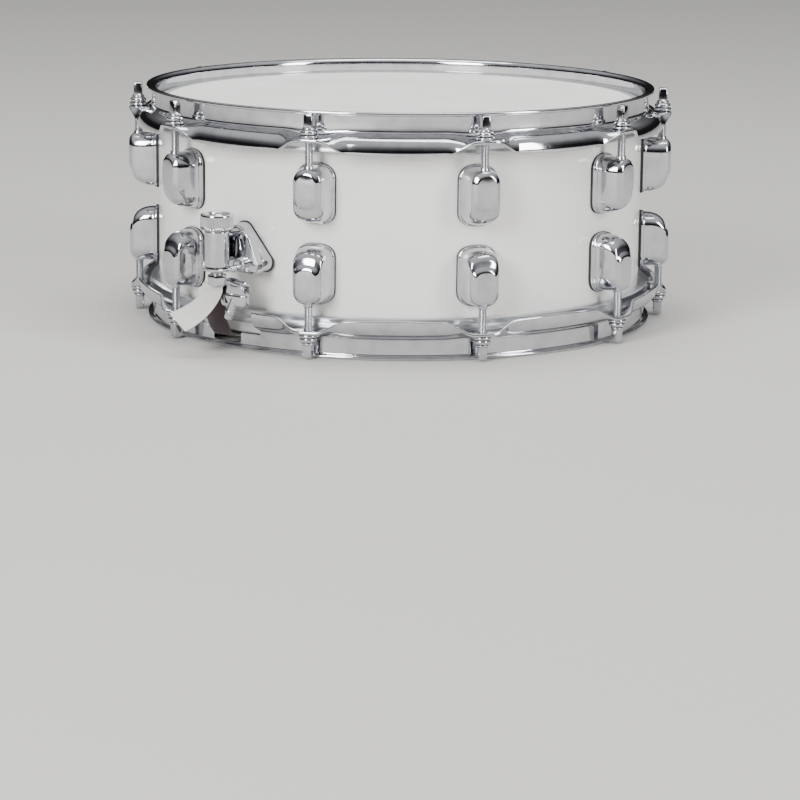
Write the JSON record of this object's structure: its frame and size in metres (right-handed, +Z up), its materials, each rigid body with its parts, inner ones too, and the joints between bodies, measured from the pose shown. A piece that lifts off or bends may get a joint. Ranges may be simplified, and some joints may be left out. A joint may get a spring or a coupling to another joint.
{
  "type": "snare drum",
  "caption": "Snare drum with a white lacquered wooden shell, flanged chrome hoops, lugs, tension rods, side-throw strainer, butt plate and snare wires.",
  "frame": {"origin": "centre of the plane the snare-side rim rests on, on the drum's axis", "axes": "+Z up the drum's axis towards the batter head; -Y is the front; the strainer stands at 36 degrees to the left of the front, the butt plate opposite"},
  "size_m": [0.3962, 0.3842, 0.1692],
  "materials": {
    "lacquered_shell": "white gloss lacquer over maple ply",
    "coated_film": "rough white coating on polyester film",
    "clear_film": "thin clear polyester film, slightly hazy",
    "aluminium_hoop": "plain extruded aluminium",
    "chromed_steel": "bright chrome plate on steel",
    "chromed_casting": null,
    "plain_steel": "nickel plated turned steel",
    "steel_wire": "coiled steel wire and soldered end plates",
    "woven_ribbon": "white woven polyester ribbon"
  },
  "bodies": {
    "drum": {"shell": "lacquered_shell", "batter_head": "coated_film", "snare_head": "clear_film", "batter_head_collar": "clear_film", "snare_head_collar": "clear_film", "batter_flesh_hoop": "aluminium_hoop", "snare_flesh_hoop": "aluminium_hoop", "batter_hoop": "chromed_steel", "snare_hoop": "chromed_steel", "lug_batter_01": "chromed_casting", "lug_batter_02": "chromed_casting", "lug_batter_03": "chromed_casting", "lug_batter_04": "chromed_casting", "lug_batter_05": "chromed_casting", "lug_batter_06": "chromed_casting", "lug_batter_07": "chromed_casting", "lug_batter_08": "chromed_casting", "lug_batter_09": "chromed_casting", "lug_batter_10": "chromed_casting", "lug_snare_01": "chromed_casting", "lug_snare_02": "chromed_casting", "lug_snare_03": "chromed_casting", "lug_snare_04": "chromed_casting", "lug_snare_05": "chromed_casting", "lug_snare_06": "chromed_casting", "lug_snare_07": "chromed_casting", "lug_snare_08": "chromed_casting", "lug_snare_09": "chromed_casting", "lug_snare_10": "chromed_casting", "strainer_base": "chromed_casting", "butt_plate": "chromed_casting", "butt_clamp": "chromed_steel", "snare_wires": "steel_wire", "strap_strainer": "woven_ribbon", "strap_butt": "woven_ribbon"},
    "lever": {"strainer_lever": "chromed_casting"},
    "carriage": {"strainer_carriage": "chromed_casting"},
    "knob": {"strainer_knob": "chromed_steel"},
    "spindle": {"strainer_spindle": "plain_steel", "strap_clamp": "plain_steel"},
    "rod_batter_01": {"rod_batter_01": "chromed_steel"},
    "rod_batter_02": {"rod_batter_02": "chromed_steel"},
    "rod_batter_03": {"rod_batter_03": "chromed_steel"},
    "rod_batter_04": {"rod_batter_04": "chromed_steel"},
    "rod_batter_05": {"rod_batter_05": "chromed_steel"},
    "rod_batter_06": {"rod_batter_06": "chromed_steel"},
    "rod_batter_07": {"rod_batter_07": "chromed_steel"},
    "rod_batter_08": {"rod_batter_08": "chromed_steel"},
    "rod_batter_09": {"rod_batter_09": "chromed_steel"},
    "rod_batter_10": {"rod_batter_10": "chromed_steel"},
    "rod_snare_01": {"rod_snare_01": "chromed_steel"},
    "rod_snare_02": {"rod_snare_02": "chromed_steel"},
    "rod_snare_03": {"rod_snare_03": "chromed_steel"},
    "rod_snare_04": {"rod_snare_04": "chromed_steel"},
    "rod_snare_05": {"rod_snare_05": "chromed_steel"},
    "rod_snare_06": {"rod_snare_06": "chromed_steel"},
    "rod_snare_07": {"rod_snare_07": "chromed_steel"},
    "rod_snare_08": {"rod_snare_08": "chromed_steel"},
    "rod_snare_09": {"rod_snare_09": "chromed_steel"},
    "rod_snare_10": {"rod_snare_10": "chromed_steel"}
  },
  "joints": [
    {"name": "lever_throw", "type": "hinge", "parent": "drum", "child": "lever", "pos_m": [-0.10377, -0.16069, 0.0618], "axis": [0.5878, 0.809, 0], "range_deg": [0, 80]},
    {"name": "carriage_slide", "type": "slide", "parent": "drum", "child": "carriage", "axis": [0, 0, -1], "range_m": [0, 0.008], "deforming": ["strap_strainer"]},
    {"name": "knob_turn", "type": "hinge", "parent": "carriage", "child": "knob", "pos_m": [-0.12226, -0.16828, 0.0921], "axis": [0, 0, 1], "range_deg": [-720, 720]},
    {"name": "spindle_slide", "type": "slide", "parent": "carriage", "child": "spindle", "axis": [0, 0, 1], "range_m": [-0.002, 0.002]},
    {"name": "rod_batter_01_turn", "type": "hinge", "parent": "drum", "child": "rod_batter_01", "pos_m": [-0.05924, -0.18232, 0.1446], "axis": [0, 0, 1], "continuous": true},
    {"name": "rod_batter_02_turn", "type": "hinge", "parent": "drum", "child": "rod_batter_02", "pos_m": [0.05924, -0.18232, 0.1446], "axis": [0, 0, 1], "continuous": true},
    {"name": "rod_batter_03_turn", "type": "hinge", "parent": "drum", "child": "rod_batter_03", "pos_m": [0.15509, -0.11268, 0.1446], "axis": [0, 0, 1], "continuous": true},
    {"name": "rod_batter_04_turn", "type": "hinge", "parent": "drum", "child": "rod_batter_04", "pos_m": [0.1917, 0, 0.1446], "axis": [0, 0, 1], "continuous": true},
    {"name": "rod_batter_05_turn", "type": "hinge", "parent": "drum", "child": "rod_batter_05", "pos_m": [0.15509, 0.11268, 0.1446], "axis": [0, 0, 1], "continuous": true},
    {"name": "rod_batter_06_turn", "type": "hinge", "parent": "drum", "child": "rod_batter_06", "pos_m": [0.05924, 0.18232, 0.1446], "axis": [0, 0, 1], "continuous": true},
    {"name": "rod_batter_07_turn", "type": "hinge", "parent": "drum", "child": "rod_batter_07", "pos_m": [-0.05924, 0.18232, 0.1446], "axis": [0, 0, 1], "continuous": true},
    {"name": "rod_batter_08_turn", "type": "hinge", "parent": "drum", "child": "rod_batter_08", "pos_m": [-0.15509, 0.11268, 0.1446], "axis": [0, 0, 1], "continuous": true},
    {"name": "rod_batter_09_turn", "type": "hinge", "parent": "drum", "child": "rod_batter_09", "pos_m": [-0.1917, 0, 0.1446], "axis": [0, 0, 1], "continuous": true},
    {"name": "rod_batter_10_turn", "type": "hinge", "parent": "drum", "child": "rod_batter_10", "pos_m": [-0.15509, -0.11268, 0.1446], "axis": [0, 0, 1], "continuous": true},
    {"name": "rod_snare_01_turn", "type": "hinge", "parent": "drum", "child": "rod_snare_01", "pos_m": [-0.05924, -0.18232, 0.0246], "axis": [0, 0, -1], "continuous": true},
    {"name": "rod_snare_02_turn", "type": "hinge", "parent": "drum", "child": "rod_snare_02", "pos_m": [0.05924, -0.18232, 0.0246], "axis": [0, 0, -1], "continuous": true},
    {"name": "rod_snare_03_turn", "type": "hinge", "parent": "drum", "child": "rod_snare_03", "pos_m": [0.15509, -0.11268, 0.0246], "axis": [0, 0, -1], "continuous": true},
    {"name": "rod_snare_04_turn", "type": "hinge", "parent": "drum", "child": "rod_snare_04", "pos_m": [0.1917, 0, 0.0246], "axis": [0, 0, -1], "continuous": true},
    {"name": "rod_snare_05_turn", "type": "hinge", "parent": "drum", "child": "rod_snare_05", "pos_m": [0.15509, 0.11268, 0.0246], "axis": [0, 0, -1], "continuous": true},
    {"name": "rod_snare_06_turn", "type": "hinge", "parent": "drum", "child": "rod_snare_06", "pos_m": [0.05924, 0.18232, 0.0246], "axis": [0, 0, -1], "continuous": true},
    {"name": "rod_snare_07_turn", "type": "hinge", "parent": "drum", "child": "rod_snare_07", "pos_m": [-0.05924, 0.18232, 0.0246], "axis": [0, 0, -1], "continuous": true},
    {"name": "rod_snare_08_turn", "type": "hinge", "parent": "drum", "child": "rod_snare_08", "pos_m": [-0.15509, 0.11268, 0.0246], "axis": [0, 0, -1], "continuous": true},
    {"name": "rod_snare_09_turn", "type": "hinge", "parent": "drum", "child": "rod_snare_09", "pos_m": [-0.1917, 0, 0.0246], "axis": [0, 0, -1], "continuous": true},
    {"name": "rod_snare_10_turn", "type": "hinge", "parent": "drum", "child": "rod_snare_10", "pos_m": [-0.15509, -0.11268, 0.0246], "axis": [0, 0, -1], "continuous": true}
  ],
  "couplings": [
    {"joint": "lever_throw", "follows": "carriage_slide", "rad_per_m": 174.53},
    {"joint": "knob_turn", "follows": "spindle_slide", "rad_per_m": -6283.2}
  ]
}
